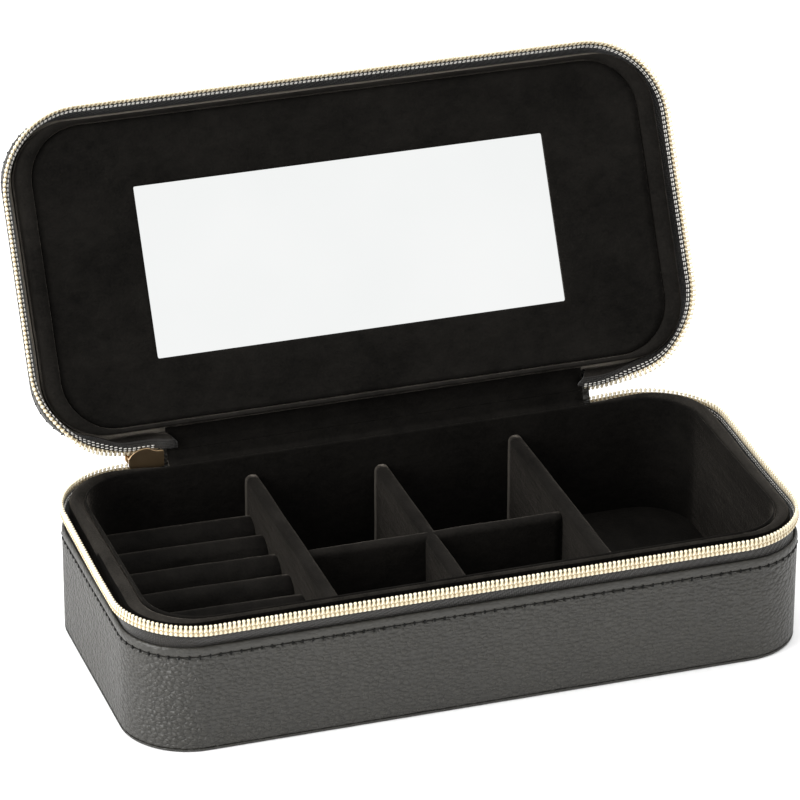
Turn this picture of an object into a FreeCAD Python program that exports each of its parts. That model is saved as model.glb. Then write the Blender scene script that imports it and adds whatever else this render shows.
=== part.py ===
import FreeCAD, Part
import Sketcher
import math
import os

# Zip-around leather jewellery case, open at its rest position.
# X runs along the case, Y to the hinge at the back, Z up.
# The origin is the centre of the base's underside. Every piece of the lid, the
# spine and the zip is drawn where it sits in the shut case. Its Placement then
# folds it to the open position.

SIZES = {
    # outside
    "case_width": 214.0,
    "case_depth": 102.5,
    "corner_radius": 21.0,
    "skin": 1.2,
    "panel_skin": 1.0,
    "board": 1.8,
    "base_edge": 35.0,
    "lid_edge": 50.2,
    "lid_top": 58.8,
    "edge_round": 0.7,
    # tray hollow
    "tray_width": 198.0,
    "tray_depth": 94.0,
    "tray_radius": 17.0,
    "lining": 0.8,
    "floor_pad": 1.4,
    "tray_rim": 43.2,
    # collars and zip
    "collar_inset": 2.2,
    "collar_top": 42.8,
    "lid_collar_low": 44.2,
    "collar_round": 0.7,
    "zip_plane": 42.6,
    "zip_gap": 0.7,
    "tape_thickness": 0.4,
    "tape_lap": 1.0,
    "tape_root_inset": 1.75,
    "tape_flare": 0.2,
    "tape_bend": 3.2,
    "coil_width": 2.5,
    "coil_thickness": 2.4,
    "zip_end": 69.0,
    "lid_zip_end_left": 83.0,
    # thread
    "thread": 0.2,
    "thread_band": 0.5,
    "stitch_inset": 3.4,
    # lid inside
    "panel_low": 48.2,
    "velvet_panel": 0.8,
    "frame_board": 2.1,
    "glass": 2.0,
    "backing": 1.2,
    "lid_board_low": 55.8,
    "lid_core_low": 51.3,
    "window_width": 134.0,
    "window_depth": 53.6,
    "window_shift": 0.7,
    "glass_margin": 2.4,
    # hinge spine
    "spine_half": 68.0,
    "fold_line_y": 51.35,
    "low_fold": 41.45,
    "high_fold": 50.8,
    "fold_gap": 0.15,
    "spine_skin": 0.8,
    "spine_board": 0.6,
    "spine_lining": 0.5,
    # dividers
    "tall_height": 36.5,
    "short_height": 33.2,
    "divider_thickness": 4.4,
    "divider_left_x": 42.3,
    "divider_right_x": 44.4,
    "cross_y": 1.0,
    "divider_round": 1.6,
    "end_gap": 0.1,
    # ring rolls
    "roll_pitch": 13.4,
    "roll_thickness": 12.2,
    "roll_height": 25.5,
    "roll_round": 5.6,
    # zip slider and its pull
    "slider_x": 75.5,
    "slider_length": 11.0,
    "slider_width": 8.0,
    "outer_plate": 1.0,
    "inner_plate": 0.7,
    "plate_gap": 0.3,
    "wing_radius": 2.0,
    "post_length": 2.6,
    "post_height": 0.8,
    "lug_length": 3.0,
    "lug_height": 2.4,
    "lug_reach": 2.7,
    "pin_hole": 1.2,
    "pin": 1.04,
    "pull_length": 21.0,
    "pull_width": 5.0,
    "pull_thickness": 1.2,
    "fork_arm": 1.2,
    "fit_gap": 0.05,
}

# The open position, in degrees away from the shut case
SPINE_LEAN = 20.0
LID_OPENING = 117.5
ROLL_COUNT = 7

doc = FreeCAD.newDocument("jewellery_case")
sheet = doc.addObject("Spreadsheet::Sheet", "Sizes")
for row, (alias, value) in enumerate(SIZES.items(), start=1):
    sheet.set("A%d" % row, alias)
    sheet.set("B%d" % row, str(value))
    sheet.setAlias("B%d" % row, alias)
doc.recompute()


class Size:
    """A length that knows its number and its spreadsheet expression."""

    def __init__(self, value, text):
        self.value = float(value)
        self.text = text

    def __add__(self, other):
        other = as_size(other)
        return Size(self.value + other.value, "(%s + %s)" % (self.text, other.text))

    def __sub__(self, other):
        other = as_size(other)
        return Size(self.value - other.value, "(%s - %s)" % (self.text, other.text))

    def __mul__(self, factor):
        return Size(self.value * factor, "(%s * %s)" % (self.text, factor))

    def __neg__(self):
        return self * -1.0


def as_size(value):
    """Plain numbers become sizes, so both can be mixed."""
    if isinstance(value, Size):
        return value
    return Size(value, repr(float(value)))


def cell(alias):
    """The size held in the named spreadsheet cell."""
    return Size(sheet.get(alias), "Sizes." + alias)


def bind(thing, path, size):
    thing.setExpression(path, as_size(size).text)


# Sketch helpers


def origin_plane(body, role):
    for feature in body.Origin.OriginFeatures:
        if feature.Role == role:
            return feature
    raise ValueError("no plane " + role)


def new_sketch(body, name, role, level):
    """An empty sketch on one of the body's planes, moved along its normal."""
    sketch = body.newObject("Sketcher::SketchObject", name)
    sketch.AttachmentSupport = [(origin_plane(body, role), "")]
    sketch.MapMode = "FlatFace"
    bind(sketch, "AttachmentOffset.Base.z", level)
    return sketch


def datum(sketch, name, constraint, size):
    index = sketch.addConstraint(constraint)
    sketch.renameConstraint(index, name)
    bind(sketch, "Constraints." + name, size)


def draw_outline(sketch, name, outline):
    """A rounded rectangle centred on the origin; outline is (width, depth, radius)."""
    width, depth, radius = outline
    half_x, half_y, corner = width.value / 2, depth.value / 2, radius.value
    point = FreeCAD.Vector
    first = sketch.GeometryCount
    flat_x, flat_y = half_x - corner, half_y - corner
    ends = [
        (point(-flat_x, -half_y), point(flat_x, -half_y)),
        (point(half_x, -flat_y), point(half_x, flat_y)),
        (point(flat_x, half_y), point(-flat_x, half_y)),
        (point(-half_x, flat_y), point(-half_x, -flat_y)),
    ]
    centres = [
        point(flat_x, -flat_y),
        point(flat_x, flat_y),
        point(-flat_x, flat_y),
        point(-flat_x, -flat_y),
    ]
    for start, end in ends:
        sketch.addGeometry(Part.LineSegment(start, end), False)
    for step, centre in enumerate(centres):
        start_angle = math.radians(90 * step - 90)
        circle = Part.Circle(centre, point(0, 0, 1), corner)
        arc = Part.ArcOfCircle(circle, start_angle, start_angle + math.pi / 2)
        sketch.addGeometry(arc, False)
    for step in range(4):
        arc = first + 4 + step
        sketch.addConstraint(tangent(first + step, 2, arc, 1))
        sketch.addConstraint(tangent(arc, 2, first + (step + 1) % 4, 1))
        if step:
            sketch.addConstraint(Sketcher.Constraint("Equal", first + 4, arc))
    for step in range(4):
        kind = "Vertical" if step % 2 else "Horizontal"
        sketch.addConstraint(Sketcher.Constraint(kind, first + step))
    datum(sketch, name + "_radius", Sketcher.Constraint("Radius", first + 4, corner), radius)
    across = Sketcher.Constraint("DistanceX", -1, 1, first + 1, 1, half_x)
    datum(sketch, name + "_right", across, width * 0.5)
    along = Sketcher.Constraint("DistanceY", -1, 1, first + 2, 1, half_y)
    datum(sketch, name + "_back", along, depth * 0.5)
    across = Sketcher.Constraint("DistanceX", first + 3, 1, -1, 1, half_x)
    datum(sketch, name + "_left", across, width * 0.5)
    along = Sketcher.Constraint("DistanceY", first, 1, -1, 1, half_y)
    datum(sketch, name + "_front", along, depth * 0.5)


def tangent(one, one_end, two, two_end):
    return Sketcher.Constraint("Tangent", one, one_end, two, two_end)


def draw_rectangle(sketch, name, left, right, low, high):
    """A rectangle from its four signed distances to the sketch origin."""
    point = FreeCAD.Vector
    first = sketch.GeometryCount
    corners = [
        point(left.value, low.value),
        point(right.value, low.value),
        point(right.value, high.value),
        point(left.value, high.value),
    ]
    for step in range(4):
        sketch.addGeometry(Part.LineSegment(corners[step], corners[(step + 1) % 4]), False)
    for step in range(4):
        joined = Sketcher.Constraint("Coincident", first + step, 2, first + (step + 1) % 4, 1)
        sketch.addConstraint(joined)
    for step in range(4):
        kind = "Vertical" if step % 2 else "Horizontal"
        sketch.addConstraint(Sketcher.Constraint(kind, first + step))
    sides = [
        ("left", "DistanceX", first, left),
        ("right", "DistanceX", first + 1, right),
        ("low", "DistanceY", first, low),
        ("high", "DistanceY", first + 2, high),
    ]
    for side, kind, line, size in sides:
        distance = Sketcher.Constraint(kind, -1, 1, line, 1, size.value)
        datum(sketch, name + "_" + side, distance, size)


# Feature helpers


def new_body(name):
    body = doc.addObject("PartDesign::Body", name)
    body.Label = name
    return body


def pad(body, sketch, height):
    feature = body.newObject("PartDesign::Pad", sketch.Name + "_pad")
    feature.Profile = sketch
    bind(feature, "Length", height)
    sketch.Visibility = False
    doc.recompute()
    return feature


def cut(body, sketch, height):
    """Remove material along the sketch's normal and make sure that some went."""
    before = body.Shape.Volume
    feature = body.newObject("PartDesign::Pocket", sketch.Name + "_cut")
    feature.Profile = sketch
    feature.Reversed = True
    bind(feature, "Length", height)
    sketch.Visibility = False
    doc.recompute()
    if not body.Shape.Volume < before - 1e-6:
        raise ValueError("nothing was cut by " + feature.Name)
    return feature


def add_layer(body, name, outlines, low, high):
    """A plate or a ring between two heights; outlines holds one or two outlines."""
    sketch = new_sketch(body, name, "XY_Plane", low)
    for step, outline in enumerate(outlines):
        draw_outline(sketch, "edge%d" % step, outline)
    return pad(body, sketch, as_size(high) - low)


def block_sketch(body, name, across, along, low):
    sketch = new_sketch(body, name, "XY_Plane", low)
    left, right = as_size(across[0]), as_size(across[1])
    front, back = as_size(along[0]), as_size(along[1])
    draw_rectangle(sketch, "side", left, right, front, back)
    return sketch


def add_block(body, name, across, along, low, high):
    return pad(body, block_sketch(body, name, across, along, low), as_size(high) - low)


def cut_block(body, name, across, along, low, high):
    return cut(body, block_sketch(body, name, across, along, low), as_size(high) - low)


def round_edges(body, name, radius, height):
    """Round every edge of the body that lies wholly at the given height."""
    chosen = []
    for index, edge in enumerate(body.Shape.Edges, start=1):
        box = edge.BoundBox
        if abs(box.ZMin - height) < 1e-4 and abs(box.ZMax - height) < 1e-4:
            chosen.append("Edge%d" % index)
    add_fillet(body, name, chosen, radius)


def add_fillet(body, name, edges, radius):
    last = body.Tip
    fillet = body.newObject("PartDesign::Fillet", name)
    fillet.Base = (last, edges)
    bind(fillet, "Radius", radius)
    doc.recompute()


case_width, case_depth = cell("case_width"), cell("case_depth")
corner_radius = cell("corner_radius")
skin, panel_skin, board = cell("skin"), cell("panel_skin"), cell("board")
tray_width, tray_depth = cell("tray_width"), cell("tray_depth")
tray_radius, lining = cell("tray_radius"), cell("lining")
zip_plane, zip_gap = cell("zip_plane"), cell("zip_gap")
spine_half = cell("spine_half")
half_depth = case_depth * 0.5
half_tray = tray_depth * 0.5


def case_outline(inset):
    """The case outline moved inwards by inset."""
    inset = as_size(inset)
    return (case_width - inset * 2, case_depth - inset * 2, corner_radius - inset)


def tray_outline(grow):
    """The tray hollow's outline moved outwards by grow."""
    grow = as_size(grow)
    return (tray_width + grow * 2, tray_depth + grow * 2, tray_radius + grow)


hinge_span = (-spine_half, spine_half)
behind = case_depth
floor_low = panel_skin + board
floor_top = floor_low + cell("floor_pad")
base_edge, lid_edge = cell("base_edge"), cell("lid_edge")
edge_low = base_edge - cell("tape_lap")
low_fold, high_fold, fold_gap = cell("low_fold"), cell("high_fold"), cell("fold_gap")
collar_back = half_depth - cell("collar_inset")

# Base: leather, boards and thread

base_bottom_leather = new_body("base_bottom_leather")
add_layer(base_bottom_leather, "bottom_panel", [case_outline(0)], as_size(0), panel_skin)
round_edges(base_bottom_leather, "bottom_panel_edge", cell("edge_round"), 0.0)

base_bottom_board = new_body("base_bottom_board")
add_layer(base_bottom_board, "bottom_board", [case_outline(skin)], panel_skin, floor_low)

base_wall_core = new_body("base_wall_core")
core_outlines = [case_outline(skin + cell("fit_gap")), tray_outline(lining + cell("fit_gap"))]
add_layer(base_wall_core, "wall_core", core_outlines, floor_low, edge_low)
core_back = (collar_back, half_depth - skin - cell("fit_gap"))
add_block(base_wall_core, "core_tab", hinge_span, core_back, edge_low, low_fold - fold_gap)

base_leather_wall = new_body("base_leather_wall")
wall_outlines = [case_outline(0), case_outline(skin)]
add_layer(base_leather_wall, "wall_skin", wall_outlines, panel_skin, base_edge)
tab_back = (half_depth - skin, half_depth)
add_block(base_leather_wall, "hinge_tab", hinge_span, tab_back, base_edge, low_fold - fold_gap)

base_stitching = new_body("base_stitching")
thread_outlines = [case_outline(-cell("thread")), case_outline(0)]
base_thread_low = base_edge - cell("stitch_inset")
base_thread_high = base_thread_low + cell("thread_band")
add_layer(base_stitching, "thread_line", thread_outlines, base_thread_low, base_thread_high)

# Base: tray

tray_floor_pad = new_body("tray_floor_pad")
add_layer(tray_floor_pad, "floor", [tray_outline(-cell("fit_gap"))], floor_low, floor_top)

tray_wall_lining = new_body("tray_wall_lining")
lining_outlines = [tray_outline(lining), tray_outline(0)]
add_layer(tray_wall_lining, "lining", lining_outlines, floor_low, cell("tray_rim"))

base_collar = new_body("base_collar")
base_collar_outlines = [case_outline(cell("collar_inset")), tray_outline(lining + cell("fit_gap"))]
add_layer(base_collar, "collar", base_collar_outlines, edge_low, cell("collar_top"))
round_edges(base_collar, "collar_edge", cell("collar_round") * 0.7, SIZES["collar_top"])

# Dividers: the middle one and the cross one are halved into each other

half_thickness = cell("divider_thickness") * 0.5
divider_ends = (-half_tray + cell("end_gap"), half_tray - cell("end_gap"))


def divider(name, centre, height):
    """A divider that runs from the front wall of the tray to the back wall."""
    body = new_body(name)
    across = (centre - half_thickness, centre + half_thickness)
    add_block(body, name + "_panel", across, divider_ends, floor_top, height)
    return body


def round_ridge(body, name, height):
    """Round the two long top edges of a divider."""
    chosen = []
    for index, edge in enumerate(body.Shape.Edges, start=1):
        box = edge.BoundBox
        level = abs(box.ZMin - height) < 1e-4 and abs(box.ZMax - height) < 1e-4
        if level and edge.Length > 3 * SIZES["divider_thickness"]:
            chosen.append("Edge%d" % index)
    add_fillet(body, name, chosen, cell("divider_round"))


left_centre = -cell("divider_left_x")
right_centre = cell("divider_right_x")
divider_left = divider("divider_left", left_centre, cell("tall_height"))
round_ridge(divider_left, "left_ridge", SIZES["tall_height"])
divider_right = divider("divider_right", right_centre, cell("tall_height"))
round_ridge(divider_right, "right_ridge", SIZES["tall_height"])

halving = (floor_top + cell("short_height")) * 0.5
cross_low = -cell("cross_y") - half_thickness
cross_high = -cell("cross_y") + half_thickness
divider_middle = divider("divider_middle", as_size(0), cell("short_height"))
round_ridge(divider_middle, "middle_ridge", SIZES["short_height"])
middle_across = (-half_thickness - 1.0, half_thickness + 1.0)
cross_along = (cross_low, cross_high)
slot_top = cell("short_height") + 1.0
cut_block(divider_middle, "middle_slot", middle_across, cross_along, halving, slot_top)

divider_cross = new_body("divider_cross")
cross_across = (
    left_centre + half_thickness + cell("end_gap"),
    right_centre - half_thickness - cell("end_gap"),
)
add_block(divider_cross, "cross_panel", cross_across, cross_along, floor_top, cell("short_height"))
round_ridge(divider_cross, "cross_ridge", SIZES["short_height"])
slot_across = (-half_thickness, half_thickness)
slot_along = (cross_low - 1.0, cross_high + 1.0)
cut_block(divider_cross, "cross_slot", slot_across, slot_along, floor_top - 1.0, halving)

# Ring rolls: upright cushions side by side, the first against the back wall

roll_across = (-tray_width * 0.5 + cell("end_gap"), left_centre - half_thickness - cell("end_gap"))


def ring_roll(number):
    """One cushion with a round top, trimmed to the tray's corner radius."""
    name = "ring_roll_%d" % number
    body = new_body(name)
    far = half_tray - cell("end_gap") - cell("roll_pitch") * (number - 1)
    along = (far - cell("roll_thickness"), far)
    add_block(body, name + "_cushion", roll_across, along, floor_top, cell("roll_height"))
    chosen = []
    for index, edge in enumerate(body.Shape.Edges, start=1):
        box = edge.BoundBox
        top = abs(box.ZMin - SIZES["roll_height"]) < 1e-4
        if top and edge.Length > 2 * SIZES["roll_thickness"]:
            chosen.append("Edge%d" % index)
    add_fillet(body, name + "_round", chosen, cell("roll_round"))
    corner_start = tray_depth.value / 2 - tray_radius.value
    if max(abs(along[0].value), abs(along[1].value)) > corner_start:
        trim = new_sketch(body, name + "_corner", "XY_Plane", floor_low)
        draw_outline(trim, "tray", tray_outline(-cell("end_gap")))
        draw_outline(trim, "outside", tray_outline(20.0))
        cut(body, trim, cell("roll_height"))
    return body


ring_rolls = [ring_roll(number) for number in range(1, ROLL_COUNT + 1)]

# Zip tapes and coils: one row on the base, the mirrored row on the lid

flare = -cell("tape_flare")
tape_root = cell("tape_root_inset")
tape_thickness = cell("tape_thickness")
coil_outer = flare - cell("coil_thickness")


def open_at_hinge(body, name, left_end, low, high):
    """Cut the ring away between the two zip ends."""
    span = (-left_end, cell("zip_end"))
    cut_block(body, name + "_opening", span, (as_size(0), behind), low - 1.0, high + 1.0)


def zip_tape(name, root, bend, edge, left_end):
    """A tape that flares out from its sewn root to a bend, then runs straight to its edge."""
    body = new_body(name)
    sections = []
    for step, (level, inset) in enumerate(((root, tape_root), (bend, flare))):
        section = new_sketch(body, "%s_section_%d" % (name, step), "XY_Plane", level)
        draw_outline(section, "outer", case_outline(inset))
        draw_outline(section, "inner", case_outline(inset + tape_thickness))
        section.Visibility = False
        sections.append(section)
    loft = body.newObject("PartDesign::AdditiveLoft", name + "_flare")
    loft.Profile = sections[0]
    loft.Sections = [sections[1]]
    loft.Ruled = True
    doc.recompute()
    low, high = (bend, edge) if edge.value > bend.value else (edge, bend)
    straight = [case_outline(flare), case_outline(flare + tape_thickness)]
    add_layer(body, name + "_band", straight, low, high)
    lowest, highest = (root, edge) if edge.value > root.value else (edge, root)
    open_at_hinge(body, name, left_end, lowest, highest)
    return body


def zip_coil(name, low, high, left_end):
    body = new_body(name)
    add_layer(body, name + "_ring", [case_outline(coil_outer), case_outline(flare)], low, high)
    open_at_hinge(body, name, left_end, low, high)
    return body


base_row_high = zip_plane - zip_gap
lid_row_low = zip_plane + zip_gap
base_bend = base_row_high - cell("tape_bend")
lid_bend = lid_row_low + cell("tape_bend")
lid_root = lid_edge + cell("tape_lap")
zip_end, lid_zip_end = cell("zip_end"), cell("lid_zip_end_left")
base_zip_tape = zip_tape("base_zip_tape", edge_low, base_bend, base_row_high, zip_end)
base_zip_coil = zip_coil("base_zip_coil", base_row_high - cell("coil_width"), base_row_high, zip_end)
lid_zip_tape = zip_tape("lid_zip_tape", lid_root, lid_bend, lid_row_low, lid_zip_end)
lid_zip_coil = zip_coil("lid_zip_coil", lid_row_low, lid_row_low + cell("coil_width"), lid_zip_end)

# Lid, drawn shut

lid_board_top = cell("lid_top") - panel_skin
lid_core_low, lid_board_low = cell("lid_core_low"), cell("lid_board_low")

lid_leather_wall = new_body("lid_leather_wall")
add_layer(lid_leather_wall, "lid_skin", wall_outlines, lid_edge, lid_board_top)
hinge_cut = (-spine_half - 0.5, spine_half + 0.5)
hinge_top = high_fold + fold_gap
cut_block(lid_leather_wall, "hinge_cut", hinge_cut, (as_size(0), behind), lid_edge - 1.0, hinge_top)

lid_top_leather = new_body("lid_top_leather")
add_layer(lid_top_leather, "top_panel", [case_outline(0)], lid_board_top, cell("lid_top"))
round_edges(lid_top_leather, "top_panel_edge", cell("edge_round"), SIZES["lid_top"])

lid_top_board = new_body("lid_top_board")
add_layer(lid_top_board, "top_board", [case_outline(skin)], lid_board_low, lid_board_top)

lid_wall_core = new_body("lid_wall_core")
lid_core_outlines = [case_outline(skin + cell("fit_gap")), tray_outline(0)]
add_layer(lid_wall_core, "lid_core", lid_core_outlines, lid_core_low, lid_board_low)

lid_stitching = new_body("lid_stitching")
lid_thread_high = lid_edge + cell("stitch_inset")
lid_thread_low = lid_thread_high - cell("thread_band")
add_layer(lid_stitching, "lid_thread_line", thread_outlines, lid_thread_low, lid_thread_high)

lid_collar = new_body("lid_collar")
lid_collar_outlines = [case_outline(cell("collar_inset")), tray_outline(0)]
add_layer(lid_collar, "lid_collar_ring", lid_collar_outlines, cell("lid_collar_low"), lid_core_low)
round_edges(lid_collar, "lid_collar_edge", cell("collar_round"), SIZES["lid_collar_low"])

inner_plate = tray_outline(-cell("fit_gap"))
panel_low = cell("panel_low")
frame_low = panel_low + cell("velvet_panel")
frame_high = frame_low + cell("frame_board")
backing_high = frame_high + cell("backing")
window_across = (cell("window_width") * -0.5, cell("window_width") * 0.5)
window_along = (
    cell("window_shift") - cell("window_depth") * 0.5,
    cell("window_shift") + cell("window_depth") * 0.5,
)
margin = cell("glass_margin")
glass_across = (window_across[0] - margin, window_across[1] + margin)
glass_along = (window_along[0] - margin, window_along[1] + margin)

lid_velvet_panel = new_body("lid_velvet_panel")
add_layer(lid_velvet_panel, "velvet_panel", [inner_plate], panel_low, frame_low)
cut_block(lid_velvet_panel, "window", window_across, window_along, panel_low - 1.0, frame_low + 1.0)

mirror_frame_board = new_body("mirror_frame_board")
add_layer(mirror_frame_board, "frame_board", [inner_plate], frame_low, frame_high)
cut_block(mirror_frame_board, "glass_seat", glass_across, glass_along, frame_low - 1.0, frame_high + 1.0)

mirror_glass = new_body("mirror_glass")
glass_gap = cell("end_gap") * 0.5
add_block(
    mirror_glass,
    "glass",
    (glass_across[0] + glass_gap, glass_across[1] - glass_gap),
    (glass_along[0] + glass_gap, glass_along[1] - glass_gap),
    frame_low + glass_gap,
    frame_low + glass_gap + cell("glass"),
)

mirror_backing_board = new_body("mirror_backing_board")
add_layer(mirror_backing_board, "backing_board", [inner_plate], frame_high, backing_high)

lid_foam = new_body("lid_foam")
add_layer(lid_foam, "foam", [inner_plate], backing_high, lid_board_low)

# Hinge spine, drawn shut: leather outside, card, velvet lining inside

spine_low = low_fold + fold_gap
spine_high = high_fold - fold_gap
spine_card_back = half_depth - cell("spine_skin")
spine_lining_back = spine_card_back - cell("spine_board")
spine_front = spine_lining_back - cell("spine_lining")


def spine_layer(name, front, back):
    body = new_body(name)
    add_block(body, name + "_strip", hinge_span, (front, back), spine_low, spine_high)
    return body


spine_leather = spine_layer("spine_leather", spine_card_back, half_depth)
spine_board = spine_layer("spine_board", spine_lining_back, spine_card_back)
spine_lining = spine_layer("spine_lining", spine_front, spine_lining_back)

# Zip slider: two plates joined by the post that parts the rows, and a lug

slider_middle = -cell("slider_x")
half_length = cell("slider_length") * 0.5
slider_across = (slider_middle - half_length, slider_middle + half_length)
plate_low = zip_plane - cell("slider_width") * 0.5
plate_high = zip_plane + cell("slider_width") * 0.5
outer_face = half_depth - coil_outer + cell("plate_gap")
outer_back = outer_face + cell("outer_plate")
inner_back = half_depth - flare - tape_thickness - cell("plate_gap")
inner_front = inner_back - cell("inner_plate")

zip_slider = new_body("zip_slider")
add_block(zip_slider, "outer_wing", slider_across, (outer_face, outer_back), plate_low, plate_high)
wing_corners = []
for index, edge in enumerate(zip_slider.Shape.Edges, start=1):
    box = edge.BoundBox
    if box.YLength > 0.9 * SIZES["outer_plate"] and box.ZLength < 1e-4:
        wing_corners.append("Edge%d" % index)
add_fillet(zip_slider, "wing_rounding", wing_corners, cell("wing_radius"))
post_across = (slider_across[0] + 0.6, slider_across[0] + 0.6 + cell("post_length"))
post_low = zip_plane - cell("post_height") * 0.5
post_high = zip_plane + cell("post_height") * 0.5
add_block(zip_slider, "post", post_across, (inner_back - 0.1, outer_face + 0.1), post_low, post_high)
inner_along = (inner_front, inner_back)
add_block(zip_slider, "inner_wing", slider_across, inner_along, plate_low + 0.4, plate_high - 0.4)
half_lug = cell("lug_length") * 0.5
lug_across = (slider_middle - half_lug, slider_middle + half_lug)
lug_low = zip_plane - cell("lug_height") * 0.5
lug_high = zip_plane + cell("lug_height") * 0.5
lug_along = (outer_back - 0.1, outer_back + cell("lug_reach"))
add_block(zip_slider, "lug", lug_across, lug_along, lug_low, lug_high)
pivot_y = outer_back + cell("lug_reach") * 0.5


def draw_circle(sketch, centre_x, centre_y, diameter):
    centre = FreeCAD.Vector(centre_x.value, centre_y.value)
    circle = Part.Circle(centre, FreeCAD.Vector(0, 0, 1), diameter.value / 2)
    sketch.addGeometry(circle, False)
    across = Sketcher.Constraint("DistanceX", -1, 1, 0, 3, centre_x.value)
    along = Sketcher.Constraint("DistanceY", -1, 1, 0, 3, centre_y.value)
    datum(sketch, "diameter", Sketcher.Constraint("Diameter", 0, diameter.value), diameter)
    datum(sketch, "across", across, centre_x)
    datum(sketch, "along", along, centre_y)


eye = new_sketch(zip_slider, "lug_eye", "XY_Plane", lug_low - 1.0)
draw_circle(eye, slider_middle, pivot_y, cell("pin_hole"))
cut(zip_slider, eye, cell("lug_height") + 2.0)

# Pull: a fork and a pin in the lug's eye, and a flat tab that lies back along the hinge

zip_pull = new_body("zip_pull")
pull_low = zip_plane - cell("pull_width") * 0.5
pull_high = zip_plane + cell("pull_width") * 0.5
half_pull = cell("pull_thickness") * 0.5
pull_along = (pivot_y - half_pull, pivot_y + half_pull)
tab_start = lug_across[1] + 0.6
tab_end = slider_middle + cell("pull_length")
add_block(zip_pull, "tab", (tab_start, tab_end), pull_along, pull_low, pull_high)
arm_across = (slider_middle - 1.2, tab_start + 0.1)
low_arm, high_arm = lug_low - 0.3, lug_high + 0.3
add_block(zip_pull, "low_arm", arm_across, pull_along, low_arm - cell("fork_arm"), low_arm)
add_block(zip_pull, "high_arm", arm_across, pull_along, high_arm, high_arm + cell("fork_arm"))
pin_sketch = new_sketch(zip_pull, "pin_circle", "XY_Plane", lug_low - 0.4)
draw_circle(pin_sketch, slider_middle, pivot_y, cell("pin"))
pad(zip_pull, pin_sketch, cell("lug_height") + 0.8)

# Open position: the spine leans back about the low fold, and the lid turns on
# about the high fold

axis = FreeCAD.Vector(1, 0, 0)
low_point = FreeCAD.Vector(0, SIZES["fold_line_y"], SIZES["low_fold"])
high_point = FreeCAD.Vector(0, SIZES["fold_line_y"], SIZES["high_fold"])


def turned_about(point, degrees):
    """The placement that opens a piece by degrees about an X line through point."""
    turn = FreeCAD.Rotation(axis, -degrees)
    return FreeCAD.Placement(point - turn.multVec(point), turn)


spine_open = turned_about(low_point, SPINE_LEAN)
lid_open = spine_open.multiply(turned_about(high_point, LID_OPENING - SPINE_LEAN))

spine_pieces = [spine_leather, spine_board, spine_lining]
lid_pieces = [
    lid_leather_wall,
    lid_top_leather,
    lid_top_board,
    lid_wall_core,
    lid_stitching,
    lid_zip_tape,
    lid_zip_coil,
    lid_collar,
    lid_velvet_panel,
    mirror_frame_board,
    mirror_glass,
    mirror_backing_board,
    lid_foam,
]
base_pieces = [
    base_bottom_leather,
    base_bottom_board,
    base_wall_core,
    base_leather_wall,
    base_stitching,
    tray_floor_pad,
    tray_wall_lining,
    base_collar,
    divider_left,
    divider_right,
    divider_middle,
    divider_cross,
    base_zip_tape,
    base_zip_coil,
    zip_slider,
    zip_pull,
] + ring_rolls

for piece in base_pieces:
    piece.Placement = FreeCAD.Placement()
for piece in spine_pieces:
    piece.Placement = spine_open
for piece in lid_pieces:
    piece.Placement = lid_open
doc.recompute()

for thing in doc.Objects:
    if "Invalid" in thing.State or "Error" in thing.State:
        raise ValueError("%s did not compute: %s" % (thing.Name, thing.State))

os.makedirs("parts", exist_ok=True)
for piece in base_pieces + spine_pieces + lid_pieces:
    if piece.Shape.isNull() or not piece.Shape.isValid():
        raise ValueError("bad shape: " + piece.Label)
    piece.Shape.exportStep("parts/%s.step" % piece.Label)
    solids = len(piece.Shape.Solids)
    print("%-22s %9.1f mm3, %d solid(s)" % (piece.Label, piece.Shape.Volume, solids))
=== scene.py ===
import math

import bmesh
import bpy
import numpy as np
from mathutils import Matrix, Vector


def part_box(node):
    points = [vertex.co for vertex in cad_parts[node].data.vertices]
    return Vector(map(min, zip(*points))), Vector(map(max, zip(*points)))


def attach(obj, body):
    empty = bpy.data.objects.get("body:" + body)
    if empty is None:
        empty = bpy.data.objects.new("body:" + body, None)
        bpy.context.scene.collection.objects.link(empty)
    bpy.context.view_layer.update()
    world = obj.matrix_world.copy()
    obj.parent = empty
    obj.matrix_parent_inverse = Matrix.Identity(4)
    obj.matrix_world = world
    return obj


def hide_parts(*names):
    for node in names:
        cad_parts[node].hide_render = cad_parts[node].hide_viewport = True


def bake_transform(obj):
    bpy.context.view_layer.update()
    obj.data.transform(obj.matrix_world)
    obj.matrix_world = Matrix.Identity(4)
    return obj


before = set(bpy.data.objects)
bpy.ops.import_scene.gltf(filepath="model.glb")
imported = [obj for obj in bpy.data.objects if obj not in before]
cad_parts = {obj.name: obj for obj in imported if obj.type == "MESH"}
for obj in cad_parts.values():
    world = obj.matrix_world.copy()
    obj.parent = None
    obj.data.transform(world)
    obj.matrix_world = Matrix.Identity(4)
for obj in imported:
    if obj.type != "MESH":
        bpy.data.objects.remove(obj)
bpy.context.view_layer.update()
scene = bpy.context.scene

# Sizes are in millimetres, in the frame of the CAD model, except in the materials,
# the studio and the camera, which are in metres. Pieces of the lid are drawn where
# they sit in the shut case and then turned open, as in the CAD.

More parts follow.
